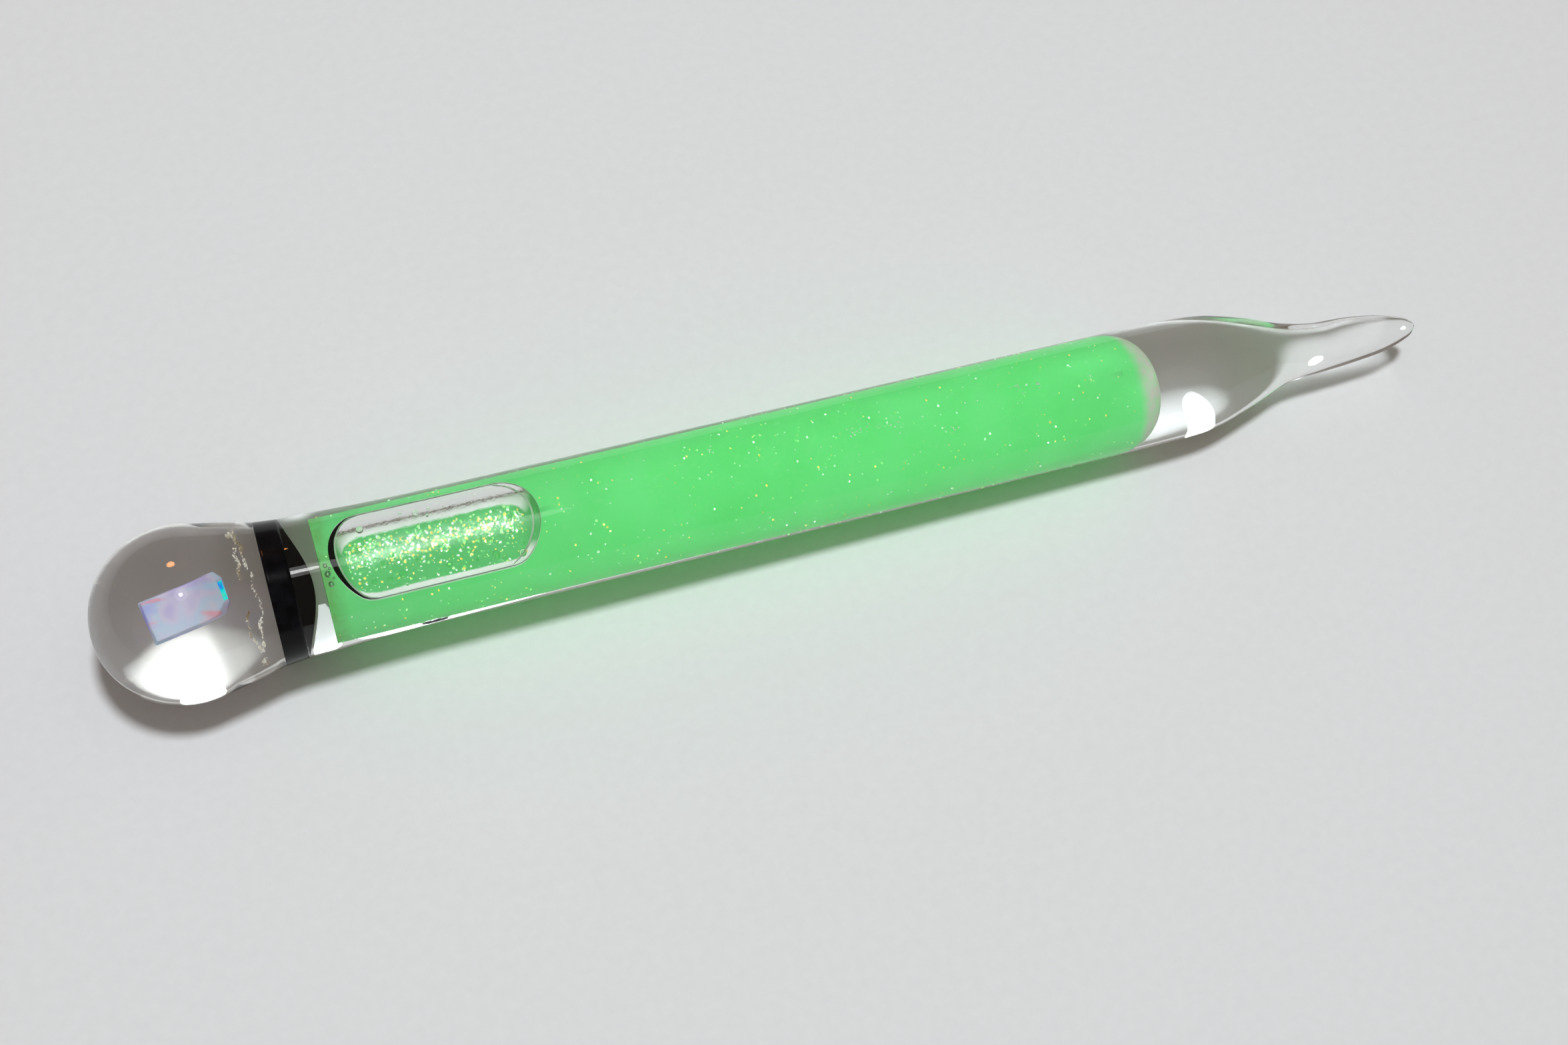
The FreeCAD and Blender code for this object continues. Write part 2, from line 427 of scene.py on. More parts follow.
def ballProfile():
    s = ballShape
    angle = math.radians(s["neckStartAngle"])
    points = []
    steps = 72
    for k in range(steps + 1):
        a = math.pi - (math.pi - angle) * k / steps
        points.append((ballCentre + ballRadius * math.cos(a), ballRadius * math.sin(a)))
    shoulder = points.pop()
    neck = bandFace - ballCentre
    waist = (ballCentre + neck * s["waistPlace"],
             bandRadius + s["waistFullness"] * (shoulder[1] - bandRadius))
    points += smoothCurve([shoulder, waist, (bandFace, bandRadius)], -1 / math.tan(angle),
                          s["neckEndSlope"], 14)
    points.insert(-1, (bandFace - 0.01 * mm, bandRadius))
    edge = bandRadius - seat
    points += [(bandFace + seat, edge * k / 8) for k in range(8, -1, -1)]
    points[0] = (points[0][0], 0)
    return points


verts, faces = turnedShell(ballProfile(), 144)
ballGlass = newPiece("ballGlass", verts, faces, [ballGlassMaterial])
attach(ballGlass, "wand")
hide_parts("end_ball")

bandShape = {
    "rimWidth": 2.20 * mm,
    "taper": 0.22 * mm,
    "bossRadius": 4.75 * mm,
    "bossFullness": 0.66,       # 1 is a plain bell; less makes its sides steeper
}
bossFoot = bandFace + bandShape["rimWidth"]
bossHeight = bossTop - bossFoot
rimRadius = bandRadius - bandShape["taper"]


def bossProfile(shift=0.0, steps=40):
    # bell-shaped bulge, from the rim to the axis
    points = []
    for k in range(steps + 1):
        r = rimRadius * (1 - k / steps)
        rise = 0.5 * (1 + math.cos(math.pi * min(r / bandShape["bossRadius"], 1.0)))
        points.append((bossFoot + shift + bossHeight * rise ** bandShape["bossFullness"], r))
    return points


def blackGlassMaterial(name, gloss):
    # inside the clear glass the black glass has no surface gloss of its own
    material, nodes, links, shader = newMaterial(name)
    cloud = cloudyColour(nodes, links, shader, 900, 5,
                         [(0.35, (0.0016, 0.0016, 0.0022)), (0.75, (0.0050, 0.0050, 0.0065))])
    shader.inputs["Roughness"].default_value = 0.17 if gloss else 0.6
    shader.inputs["Specular IOR Level"].default_value = 0.12 if gloss else 0.0
    if gloss:
        links.new(bumpNode(nodes, links, cloud.outputs["Fac"], 0.25, 0.00003).outputs["Normal"],
                  shader.inputs["Normal"])
    return material


rimPart = [(bandFace, bandRadius - 0.02 * mm), (bandFace + 0.02 * mm, bandRadius)]
rimPart += [(bandFace + bandShape["rimWidth"] * k / 8, bandRadius - bandShape["taper"] * k / 8)
            for k in range(1, 9)]
profile = [(bandFace, 0)] + [(bandFace, bandRadius * k / 10) for k in range(1, 10)]
profile += rimPart + bossProfile()[1:]
verts, faces = turnedShell(profile, 144)
rimSlots = []
for face in faces:
    places = [verts[i] for i in face]
    onRim = min(math.hypot(v.y, v.z) for v in places) > rimRadius - 0.01 * mm
    rimSlots.append(1 if onRim else 0)
blackBand = newPiece("blackBand", verts, faces,
                     [blackGlassMaterial("blackInside", False), blackGlassMaterial("blackRim", True)],
                     rimSlots)
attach(blackBand, "wand")
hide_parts("black_band")

tubeShape = {
    "flareLength": 11.1 * mm,
    "flareRise": 0.28 * mm,
    "viewLean": 25,
    "around": 240,
    "chipPlace": -37.3 * mm,    # a shallow chip low on the near side
    "chipAngle": -96,
    "chipSize": (1.25 * mm, 0.45 * mm),
    "chipDepth": 0.12 * mm,
}


def chipDepthAt(x, a):
    s = tubeShape
    along = (x - s["chipPlace"]) / s["chipSize"][0]
    across = (a - math.radians(s["chipAngle"])) * tubeRadius / s["chipSize"][1]
    away = along * along + across * across
    return s["chipDepth"] * max(0.0, 1 - away) ** 0.5 * (1 + 0.15 * math.sin(9 * along + 2 * across))


# the tip's ovals: place, width, thickness, twist in degrees, sideways shift
tipOvals = [
    (0.000, 1.000, 1.000, 0, 0.000),
    (0.035, 1.000, 1.000, 0, 0.000),
    (0.077, 0.997, 0.997, 0, 0.000),
    (0.125, 0.993, 0.990, 0, 0.000),
    (0.178, 0.987, 0.976, 2, 0.000),
    (0.231, 0.977, 0.948, 6, 0.000),
    (0.286, 0.954, 0.892, 12, -0.003),
    (0.345, 0.900, 0.800, 18, -0.010),
    (0.451, 0.735, 0.600, 22, -0.010),
    (0.558, 0.525, 0.395, 20, -0.005),
    (0.666, 0.430, 0.265, 12, 0.040),
    (0.775, 0.390, 0.205, 2, 0.035),
    (0.882, 0.315, 0.150, -8, 0.045),
    (0.963, 0.185, 0.095, -14, 0.045),
    (1.000, 0.075, 0.045, -16, 0.040),
]


def softStep(values, t):
    # Catmull-Rom value along a list of (place, value...) rows
    k = 0
    while k < len(values) - 2 and t > values[k + 1][0]:
        k += 1
    a, b = values[k], values[k + 1]
    before = values[max(k - 1, 0)]
    after = values[min(k + 2, len(values) - 1)]
    w = b[0] - a[0]
    u = (t - a[0]) / w
    out = []
    for c in range(1, len(a)):
        da = (b[c] - before[c]) / max(b[0] - before[0], 1e-9) * w
        db = (after[c] - a[c]) / max(after[0] - a[0], 1e-9) * w
        out.append((2 * u ** 3 - 3 * u ** 2 + 1) * a[c] + (u ** 3 - 2 * u ** 2 + u) * da
                   + (3 * u ** 2 - 2 * u ** 3) * b[c] + (u ** 3 - u ** 2) * db)
    return out


def radiusAt(rows, x):
    for (xa, ra), (xb, rb) in zip(rows, rows[1:]):
        if xa <= x <= xb:
            return ra + (rb - ra) * (x - xa) / max(xb - xa, 1e-12)
    return rows[-1][1]


def tubeOutside():
    n = tubeShape["around"]
    bossRows = list(reversed(bossProfile(-seat)))[1:-1] + [(bossFoot - seat, rimRadius - seat)]
    rows = [(bossFoot + (tubeStart - bossFoot) * share,
             rimRadius + (tubeRadius + tubeShape["flareRise"] - rimRadius) * share)
            for share in (0, 0.004, 0.125, 0.25, 0.375, 0.5, 0.625, 0.75, 0.875)]
    rows += smoothCurve([(tubeStart, tubeRadius + tubeShape["flareRise"]),
                         (tubeStart + 0.44 * tubeShape["flareLength"],
                          tubeRadius + 0.29 * tubeShape["flareRise"]),
                         (tubeStart + tubeShape["flareLength"], tubeRadius)], -0.05, 0, 12)
    straight = rows[-1][0]
    rows += [(straight + (domeStart - straight) * k / 24, tubeRadius) for k in range(1, 25)]
    chipReach = tubeShape["chipSize"][0]
    chipRows = [tubeShape["chipPlace"] + chipReach * k / 12 for k in range(-13, 14)]
    plain = [(x, r) for x, r in rows if abs(x - tubeShape["chipPlace"]) > chipReach * 1.15]
    rows = bossRows + sorted(plain + [(x, radiusAt(rows, x)) for x in chipRows])
    verts = [Vector((bossTop - seat, 0, 0))]
    for x, r in rows:
        for j in range(n):
            a = 2 * math.pi * j / n
            angle = math.atan2(math.cos(a), math.sin(a))
            size = r - chipDepthAt(x, angle)
            verts.append(Vector((x, size * math.cos(a), size * math.sin(a))))
    count = len(rows)
    tipLength = tipEnd - domeStart
    steps = 110
    for k in range(1, steps + 1):
        share = k / steps
        width, thick, twist, shift = softStep(tipOvals, share)
        # the last bit closes in a round end
        close = math.sqrt(max(0.0, 1 - ((share - 0.975) / 0.0255) ** 2)) if share > 0.975 else 1.0
        turn = math.radians(tubeShape["viewLean"] + twist)
        for j in range(n):
            a = 2 * math.pi * j / n - turn
            flat = width * tubeRadius * math.cos(a) * close
            deep = thick * tubeRadius * math.sin(a) * close
            y = flat * math.cos(turn) - deep * math.sin(turn) - shift * tubeRadius
            z = flat * math.sin(turn) + deep * math.cos(turn)
            verts.append(Vector((domeStart + share * tipLength, y, z)))
        count += 1
    verts.append(Vector((tipEnd, verts[-1].y, verts[-1].z)))
    faces = [(0, 1 + (j + 1) % n, 1 + j) for j in range(n)]
    faces += [tuple(reversed(f)) for f in ringsToFaces(count, n, first=1)]
    start = 1 + (count - 1) * n
    faces += [(len(verts) - 1, start + j, start + (j + 1) % n) for j in range(n)]
    return verts, [tuple(reversed(f)) for f in faces]


def boreProfile(grow=0.0):
    points = [(tubeStart - grow, 0)]
    points += [(tubeStart - grow, (boreRadius + grow) * k / 6) for k in range(1, 6)]
    points.append((tubeStart - grow, boreRadius + grow))
    points += [(tubeStart + (domeStart - tubeStart) * k / 30, boreRadius + grow) for k in range(1, 31)]
    for k in range(1, 24):
        a = math.pi / 2 * k / 24
        points.append((domeStart + (domeDepth + grow) * math.sin(a) ** domeBlunt,
                       (boreRadius + grow) * math.cos(a) ** domeBlunt))
    points.append((domeStart + domeDepth + grow, 0))
    return points


outside, inside = tubeOutside(), turnedShell(boreProfile(), 144, inward=True)
verts, faces = joined([outside, inside])
tubeGlass = newPiece("tubeGlass", verts, faces, [glass, wetGlass],
                     [0] * len(outside[1]) + [1] * len(inside[1]))
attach(tubeGlass, "wand")
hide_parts("end_plug", "glass_tube", "drawn_tip")
print("glass made")


opalShape = {
    "size": (6.10 * mm, 2.80 * mm, 1.90 * mm),
    "bevel": 0.55 * mm,
    "turn": 9.5,
    "lean": 22,
    "offset": (0.75 * mm, 0.40 * mm, 0.25 * mm),
    "cornerCut": 0.62 * mm,
    "softEdge": 0.12 * mm,
}


def opalBlock():
    s = opalShape
    bm = bmesh.new()
    bmesh.ops.create_cube(bm, size=1.0, matrix=Matrix.Diagonal((*s["size"], 1)))
    farEdges = [e for e in bm.edges
                if all(v.co.x > 0.49 * s["size"][0] for v in e.verts)
                and abs(e.verts[0].co.z - e.verts[1].co.z) < 1e-9]
    cut = bmesh.ops.bevel(bm, geom=farEdges, offset=s["bevel"], segments=1, profile=0.5, affect="EDGES")
    for face in cut["faces"]:
        face.material_index = 1
    corners = [e for e in bm.edges
               if abs(abs(e.verts[0].co.y) - s["size"][1] / 2) < 1e-7
               and abs(e.verts[0].co.y - e.verts[1].co.y) < 1e-7
               and min(v.co.x for v in e.verts) > s["size"][0] / 2 - s["bevel"] - 1e-7]
    bmesh.ops.bevel(bm, geom=corners, offset=s["cornerCut"], segments=1, profile=0.5, affect="EDGES")
    bmesh.ops.bevel(bm, geom=bm.edges[:], offset=s["softEdge"], segments=3, profile=0.6, affect="EDGES")
    turn = (Matrix.Translation(Vector((ballCentre, 0, 0)) + Vector(s["offset"]))
            @ Matrix.Rotation(math.radians(s["lean"]), 4, "X")
            @ Matrix.Rotation(math.radians(s["turn"]), 4, "Z"))
    bm.transform(turn)
    mesh = bpy.data.meshes.new("opalChip")
    bm.to_mesh(mesh)
    bm.free()
    return mesh


opalLook = {
    "body": ((0.60, 0.54, 0.86), (0.73, 0.69, 0.90), (0.60, 0.74, 0.92), (0.80, 0.74, 0.90)),
    "violet": (0.30, 0.26, 1.0),
    "rose": (1.0, 0.33, 0.40),
    "sky": (0.35, 0.80, 1.0),
    "flash": ((0.02, 0.25, 1.0), (0.0, 0.85, 0.95), (0.10, 1.0, 0.65)),
    # painted light: the opal's body glows a little and its bevel flash more
    "paintedGlow": 0.10,
    "paintedFlashGlow": 0.45,
}


def opalMaterial(name, flash):
    # soft pastel ground with slanting flecks of stronger colour; the colour also glows as painted light
    material, nodes, links, shader = newMaterial(name)
    look = opalLook
    coords = nodes.new("ShaderNodeTexCoord").outputs["Object"]
    if flash:
        bands = noiseNode(nodes, links, 900, 2)
        tone = rampNode(nodes, links, bands.outputs["Fac"],
                        [(0.36, look["flash"][0]), (0.50, look["flash"][1]), (0.66, look["flash"][2])])
        colour = tone.outputs["Color"]
    else:
        ground = noiseNode(nodes, links, 330, 2)
        tone = rampNode(nodes, links, ground.outputs["Fac"],
                        [(place, c) for place, c in zip((0.34, 0.46, 0.56, 0.68), look["body"])])
        colour = tone.outputs["Color"]
        for layer, (shift, turn, squeeze, size, low, high, most) in {
                "violet": (0.013, 80, 0.35, 420, 0.58, 0.68, 0.65),
                "sky": (0.031, 65, 0.30, 520, 0.57, 0.70, 0.60),
                "rose": (0.083, 35, 0.20, 1150, 0.585, 0.65, 0.60)}.items():
            slant = nodes.new("ShaderNodeMapping")
            links.new(coords, slant.inputs["Vector"])
            slant.inputs["Location"].default_value = (shift, shift, 0)
            slant.inputs["Rotation"].default_value = (0, 0, math.radians(turn))
            slant.inputs["Scale"].default_value = (squeeze, 1.0, 0.6)
            fleck = noiseNode(nodes, links, size, 2, 0.5, slant.outputs["Vector"])
            where = rampNode(nodes, links, fleck.outputs["Fac"],
                             [(low, (0, 0, 0)), (high, (1, 1, 1))])
            colour = mixed(nodes, links, where.outputs["Color"], colour, look[layer], most)
    links.new(colour, shader.inputs["Base Color"])
    # painted light: the colour is also given as emission
    links.new(colour, shader.inputs["Emission Color"])
    shader.inputs["Emission Strength"].default_value = look["paintedFlashGlow"] if flash else look["paintedGlow"]
    shader.inputs["Roughness"].default_value = 0.35
    shader.inputs["Specular IOR Level"].default_value = 0.0
    return material


opalMesh = opalBlock()
opalMesh.materials.append(opalMaterial("opalStone", False))
opalMesh.materials.append(opalMaterial("opalFlash", True))
opalChip = bpy.data.objects.new("opalChip", opalMesh)
scene.collection.objects.link(opalChip)
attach(opalChip, "wand")
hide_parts("opal_chip")
print("opal made")


bubbleShape = {
    "halfWidth": 3.63 * mm,
    "floorDepth": 1.90 * mm,
    "level": 2.40 * mm,
    "stations": 34,         # along each rounded end
    "middle": 10,
    "across": 72,
    "around": 120,
    "farFilm": 3.05 * mm,       # beyond this the floor is a thin film of liquid, paler of its own and painted pale with the light that shows through it
    "nearFilm": 2.74 * mm,
}
bubbleGap = 0.04 * mm
bubbleStart = bubbleLow[0] - bubbleGap
bubbleEnd = bubbleHigh[0] + bubbleGap
bubbleMiddle = (bubbleStart + bubbleEnd) / 2
wet = 0.02 * mm             # the liquid reaches this far into the glass, so no air shows between them


def bubbleSection(x):
    # half width of the trough at x, and its distance along the rounded end
    w = bubbleShape["halfWidth"]
    near = max(bubbleStart + w - x, x - (bubbleEnd - w), 0.0)
    return math.sqrt(max(w * w - near * near, 0.0)), near


def troughProfile(x, radius):
    # from the near contact with the wall, down, across the floor and up to the far contact
    s = bubbleShape
    w, near = bubbleSection(x)
    count = s["across"]
    points = []
    # path: up the side wall, then the oval floor; measured from the middle outwards
    fine = []
    floorSteps = 60
    for k in range(floorSteps + 1):
        y = w * math.sin(math.pi / 2 * k / floorSteps)
        rho = min(math.hypot(y, near) / s["halfWidth"], 1.0)
        z = s["level"] - s["floorDepth"] * math.sqrt(max(1 - rho * rho, 0.0))
        if y * y + z * z > radius * radius:
            break
        fine.append((y, z))
    y, z = fine[-1]
    if len(fine) == floorSteps + 1:
        top = math.sqrt(radius * radius - y * y)
        fine += [(y, z + (top - z) * k / 12) for k in range(1, 13)]
    else:
        # close on the wall
        scale = radius / math.hypot(y, z)
        fine.append((y * scale, z * scale))
    lengths = [0.0]
    for a, b in zip(fine, fine[1:]):
        lengths.append(lengths[-1] + math.hypot(b[0] - a[0], b[1] - a[1]))
    total = lengths[-1]
    half = []
    j = 0
    for k in range(count // 2 + 1):
        goal = total * k / (count // 2)
        while j < len(lengths) - 2 and lengths[j + 1] < goal:
            j += 1
        span = max(lengths[j + 1] - lengths[j], 1e-12)
        t = min(max((goal - lengths[j]) / span, 0.0), 1.0)
        half.append((fine[j][0] + (fine[j + 1][0] - fine[j][0]) * t,
                     fine[j][1] + (fine[j + 1][1] - fine[j][1]) * t))
    left = [(-y, z) for y, z in reversed(half[1:])]
    return left + half


def filmPaintedLightAt(x, y):
    # 1 where only a thin film of liquid wets the trough's edge; a thin film is paler of its own, and its
    # pale tone also paints the light that shows through it
    s = bubbleShape
    near = bubbleSection(x)[1]
    rho = math.hypot(y, near)
    side = min(max((abs(y) / max(rho, 1e-9) - 0.45) / 0.25, 0.0), 1.0)
    wave = noise.noise(Vector((x / (1.3 * mm), y / (4 * mm), 0.3)))
    wave = 0.10 * wave + 0.06 * noise.noise(Vector((x / (0.4 * mm), y / (2 * mm), 4.1)))
    edge = (s["farFilm"] if y > 0 else s["nearFilm"]) + wave * mm
    return side * min(max((rho - edge) / (0.10 * mm) + 0.5, 0.0), 1.0)


def liquidRings(xs):
    # outside rings with a gap over the bubble, and the trough between the gap's edges
    s = bubbleShape
    n, m = s["around"], s["across"] + 1
    radius = boreRadius + wet
    verts, faces, slots, pale = [], [], [], []
    rings = []
    for x in xs:
        inBubble = bubbleStart < x < bubbleEnd
        size = radius
        if x > domeStart:
            along = min((x - domeStart) / (domeDepth + wet), 1.0) ** (1 / domeBlunt)
            size = radius * math.sqrt(max(1 - along * along, 0.0)) ** domeBlunt
        if inBubble:
            trough = troughProfile(x, radius)
            edge = math.atan2(trough[-1][0], trough[-1][1])
        else:
            trough = None
            edge = 0.0
        ring = []
        for j in range(n + 1):
            a = edge + (2 * math.pi - 2 * edge) * j / n
            ring.append(len(verts))
            verts.append(Vector((x, size * math.sin(a), size * math.cos(a))))
            pale.append(0.0)
        inner = []
        if trough:
            pale[ring[0]] = filmPaintedLightAt(x, trough[-1][0])
            pale[ring[-1]] = filmPaintedLightAt(x, trough[0][0])
            inner.append(ring[-1])
            for y, z in trough[1:-1]:
                inner.append(len(verts))
                verts.append(Vector((x, y, z)))
                pale.append(filmPaintedLightAt(x, y))
            inner.append(ring[0])
        rings.append((ring, inner))
    for (ringA, innerA), (ringB, innerB) in zip(rings, rings[1:]):
        for j in range(n):
            faces.append((ringA[j], ringB[j], ringB[j + 1], ringA[j + 1]))
            slots.append(0)
        if innerA and innerB:
            for j in range(m - 1):
                faces.append((innerA[j], innerB[j], innerB[j + 1], innerA[j + 1]))
                slots.append(1)
    return verts, faces, slots, rings, pale


def endStations(start, sign):
    w = bubbleShape["halfWidth"]
    count = bubbleShape["stations"]
    return [start + sign * w * (1 - math.cos(math.pi / 2 * (k + 0.12) / (count + 0.12)))
            for k in range(count + 1)]


nearXs = [tubeStart - wet + (bubbleStart - tubeStart + wet) * k / 5 for k in range(6)]
nearXs += endStations(bubbleStart, 1)
w = bubbleShape["halfWidth"]
nearXs += [bubbleStart + w + (bubbleMiddle - bubbleStart - w) * k / bubbleShape["middle"]
           for k in range(1, bubbleShape["middle"] + 1)]
underXs = [bubbleMiddle + (bubbleEnd - w - bubbleMiddle) * k / bubbleShape["middle"]
           for k in range(bubbleShape["middle"])]
underXs += list(reversed(endStations(bubbleEnd, -1))) + [bubbleEnd]
farXs = [bubbleEnd + (domeStart - bubbleEnd) * k / 40 for k in range(41)]
domeXs = [domeStart]
domeXs += [domeStart + (domeDepth + wet) * math.sin(math.pi / 2 * k / 30) ** domeBlunt
          for k in range(1, 30)]


liquidLook = {
    "deep": (0.200, 0.93, 0.290),
    "bright": (0.245, 0.97, 0.345),
    # partly painted light: the thin film's pale tone also stands for light showing through it
    "film": (0.86, 0.89, 0.86),
    "cream": (0.68, 0.75, 0.61),
    "edge": (0.22, 0.66, 0.20),
    "paintedGlow": 0.10,               # painted light: the liquid glows a little of its own colour, standing in for light scattered inside it
    "travel": 61.0 * mm,        # the bubble's longest slide, as in the record
    "spare": 0.15 * mm,         # a thin slice is left ahead of the bubble at its limit
    "paintedSurfaceShade": 0.58,       # painted shade: the free surface under the bubble is painted deeper
    "creamPlace": 3.3 * mm,     # how far the settled pearl reaches back from the round end
    "edgePlace": 2.1 * mm,      # and the dull layer from the flat end
}


def liquidMaterial(name, glossy):
    material, nodes, links, shader = newMaterial(name)
    # painted shade: the glossy copy is the same liquid, darkened
    shade = liquidLook["paintedSurfaceShade"] if glossy else 1.0
    coords = nodes.new("ShaderNodeTexCoord").outputs["Object"]
    cloud = noiseNode(nodes, links, 160, 4)
    tone = rampNode(nodes, links, cloud.outputs["Fac"],
                    [(0.32, tuple(c * shade for c in liquidLook["deep"])),
                     (0.68, tuple(c * shade for c in liquidLook["bright"]))])
    colour = tone.outputs["Color"]
    # fine pearl grain
    grain = noiseNode(nodes, links, 2600, 2)
    speck = rampNode(nodes, links, grain.outputs["Fac"], [(0.60, (0, 0, 0)), (0.78, (1, 1, 1))])
    colour = mixed(nodes, links, speck.outputs["Color"], colour, (0.42, 0.97, 0.52), 0.30)
    # settled layers at the two ends
    split = nodes.new("ShaderNodeSeparateXYZ")
    links.new(coords, split.inputs["Vector"])
    wobble = noiseNode(nodes, links, 900, 3)
    for start, width, sign, layer in (
            (domeStart + domeDepth - liquidLook["creamPlace"], 1.6 * mm, 1, liquidLook["cream"]),
            (tubeStart + liquidLook["edgePlace"], 2.0 * mm, -1, liquidLook["edge"])):
        reach = nodes.new("ShaderNodeMapRange")
        reach.interpolation_type = "SMOOTHSTEP"
        links.new(split.outputs["X"], reach.inputs["Value"])
        reach.inputs["From Min"].default_value = start
        reach.inputs["From Max"].default_value = start + sign * width
        patchy = nodes.new("ShaderNodeMath")
        patchy.operation = "MULTIPLY"
        patchy.use_clamp = True
        links.new(reach.outputs["Result"], patchy.inputs[0])
        strength = rampNode(nodes, links, wobble.outputs["Fac"],
                            [(0.3, (0.55, 0.55, 0.55)), (0.6, (1, 1, 1))])
        links.new(strength.outputs["Color"], patchy.inputs[1])
        colour = mixed(nodes, links, patchy.outputs["Value"], colour, layer, 1.0)
    # partly painted light: pale where the thin film lets light through
    film = valueNode(nodes, "film").outputs["Fac"]
    colour = mixed(nodes, links, film, colour, liquidLook["film"], 1.0)
    links.new(colour, shader.inputs["Base Color"])
    # painted light: the liquid's colour also shines as emission
    links.new(colour, shader.inputs["Emission Color"])
    shader.inputs["Emission Strength"].default_value = liquidLook["paintedGlow"]
    shader.inputs["Roughness"].default_value = 0.16 if glossy else 0.6
    shader.inputs["Specular IOR Level"].default_value = 0.16 if glossy else 0.0
    return material


liquidBody = liquidMaterial("liquidBody", False)
liquidSurface = liquidMaterial("liquidSurface", True)


def closeEnd(verts, faces, slots, pale, loop):
    # a flat end made of a fan about the loop's middle
    middle = len(verts)
    centre = Vector((0, 0, 0))
    for i in loop:
        centre += verts[i]
    verts.append(centre / len(loop))
    pale.append(0.0)
    for a, b in zip(loop, loop[1:] + loop[:1]):
        faces.append((middle, a, b))
        slots.append(0)


def makeLiquid(name, xs):
    verts, faces, slots, rings, pale = liquidRings(xs)
    capsFrom = len(verts)
    for ring, inner in (rings[0], rings[-1]):
        closeEnd(verts, faces, slots, pale, ring[:-1] + inner[:-1] if inner else ring[:-1])
    piece = newPiece(name, verts, faces, [liquidBody, liquidSurface], slots)
    paintPoints(piece, "film", pale)
    bm = bmesh.new()
    bm.from_mesh(piece.data)
    # an edge between an end and the side stays crisp
    bm.verts.ensure_lookup_table()
    for middle in (bm.verts[capsFrom], bm.verts[capsFrom + 1]):
        for face in middle.link_faces:
            for edge in face.edges:
                if middle not in edge.verts:
                    edge.smooth = False
    bmesh.ops.remove_doubles(bm, verts=bm.verts, dist=1e-7)
    bmesh.ops.recalc_face_normals(bm, faces=bm.faces)
    bm.to_mesh(piece.data)
    bm.free()
    return piece


liquidNear = makeLiquid("liquidNear", nearXs)
liquidUnder = makeLiquid("liquidUnder", underXs)
liquidFar = makeLiquid("liquidFar", farXs)
liquidDome = makeLiquid("liquidDome", domeXs)
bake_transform(liquidNear)
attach(liquidUnder, "bubble")
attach(liquidFar, "fill")
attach(liquidDome, "fill")
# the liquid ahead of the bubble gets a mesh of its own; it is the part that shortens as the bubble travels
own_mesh(liquidFar)
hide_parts("green_liquid")
print("liquid made")


rimLook = {
    "nearShadeWidth": 0.52 * mm,     # painted shade: the dark curve at the bubble's near end
    "lineWidth": 0.035 * mm,
    "farRing": 0.62 * mm,       # how far the second, pale line, a painted highlight, stands in from the far end
    "lift": 0.035 * mm,
    "sideSteps": 40,
    "endSteps": 30,
}


def bubbleOutline():
    # (x, y, inward x, inward y, share) round the opening; the share runs 0..1 from near end to far end
    w = bubbleShape["halfWidth"]
    half = []
    for k in range(rimLook["endSteps"] + 1):
        a = math.pi / 2 * k / rimLook["endSteps"]
        half.append((bubbleStart + w * (1 - math.cos(a)), math.cos(a), -math.sin(a)))
    run = bubbleEnd - bubbleStart - 2 * w
    half += [(bubbleStart + w + run * k / rimLook["sideSteps"], 0.0, -1.0)
             for k in range(1, rimLook["sideSteps"])]
    for k in range(rimLook["endSteps"] + 1):
        a = math.pi / 2 * (1 - k / rimLook["endSteps"])
        half.append((bubbleEnd - w * (1 - math.cos(a)), -math.cos(a), -math.sin(a)))
    rows = []
    for x, inX, inY in half:
        inside = min(max(x, bubbleStart + 1e-6), bubbleEnd - 1e-6)
        y = troughProfile(inside, boreRadius)[-1][0]
        rows.append((x, y, inX, inY, (x - bubbleStart) / (bubbleEnd - bubbleStart)))
    return rows + [(x, -y, inX, -inY, share) for x, y, inX, inY, share in reversed(rows[1:-1])]


def rimRibbon(name, inset, width, shade, material):
    # a thin ribbon on the wall of the bore, following the bubble's outline; it carries the painted shade and
    # painted highlight of the bubble's edge
    low, high = boreRadius + 0.006 * mm, boreRadius + rimLook["lift"]
    verts, faces, shades = [], [], []
    outline = bubbleOutline()
    for x, y, inX, inY, share in outline:
        first = inset(share, abs(inX))
        last = first + max(width(share, abs(inX)), 0.004 * mm)
        for radius, depth in ((high, first), (high, last), (low, last), (low, first)):
            py = y + inY * depth
            verts.append(Vector((x + inX * depth, py, math.sqrt(radius * radius - py * py))))
            shades.append(shade(share, abs(inX)))
    count = len(outline)
    for i in range(count):
        for j in range(4):
            a, b = i * 4 + j, i * 4 + (j + 1) % 4
            c, d = (i + 1) % count * 4 + (j + 1) % 4, (i + 1) % count * 4 + j
            faces.append((a, d, c, b))
    piece = newPiece(name, verts, faces, [material])
    paintPoints(piece, "shade", shades)
    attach(piece, "bubble")
    return piece


# painted shade and painted highlight: tones from black to pale green for the bubble's edge lines
paintedRimShadeAndLight, nodes, links, shader = newMaterial("bubbleEdgePaintedShadeAndLight")
shade = valueNode(nodes, "shade")
wander = noiseNode(nodes, links, 700, 3)
shaken = nodes.new("ShaderNodeMath")
shaken.operation = "MULTIPLY_ADD"
links.new(wander.outputs["Fac"], shaken.inputs[0])
shaken.inputs[1].default_value = 0.16
links.new(shade.outputs["Fac"], shaken.inputs[2])
tone = rampNode(nodes, links, shaken.outputs["Value"],
                [(0.10, (0.004, 0.007, 0.005)), (0.30, (0.04, 0.06, 0.04)), (0.55, (0.30, 0.40, 0.30)),
                 (1.00, (0.72, 0.88, 0.72))])
links.new(tone.outputs["Color"], shader.inputs["Base Color"])
shader.inputs["Roughness"].default_value = 0.5
shader.inputs["Specular IOR Level"].default_value = 0.0


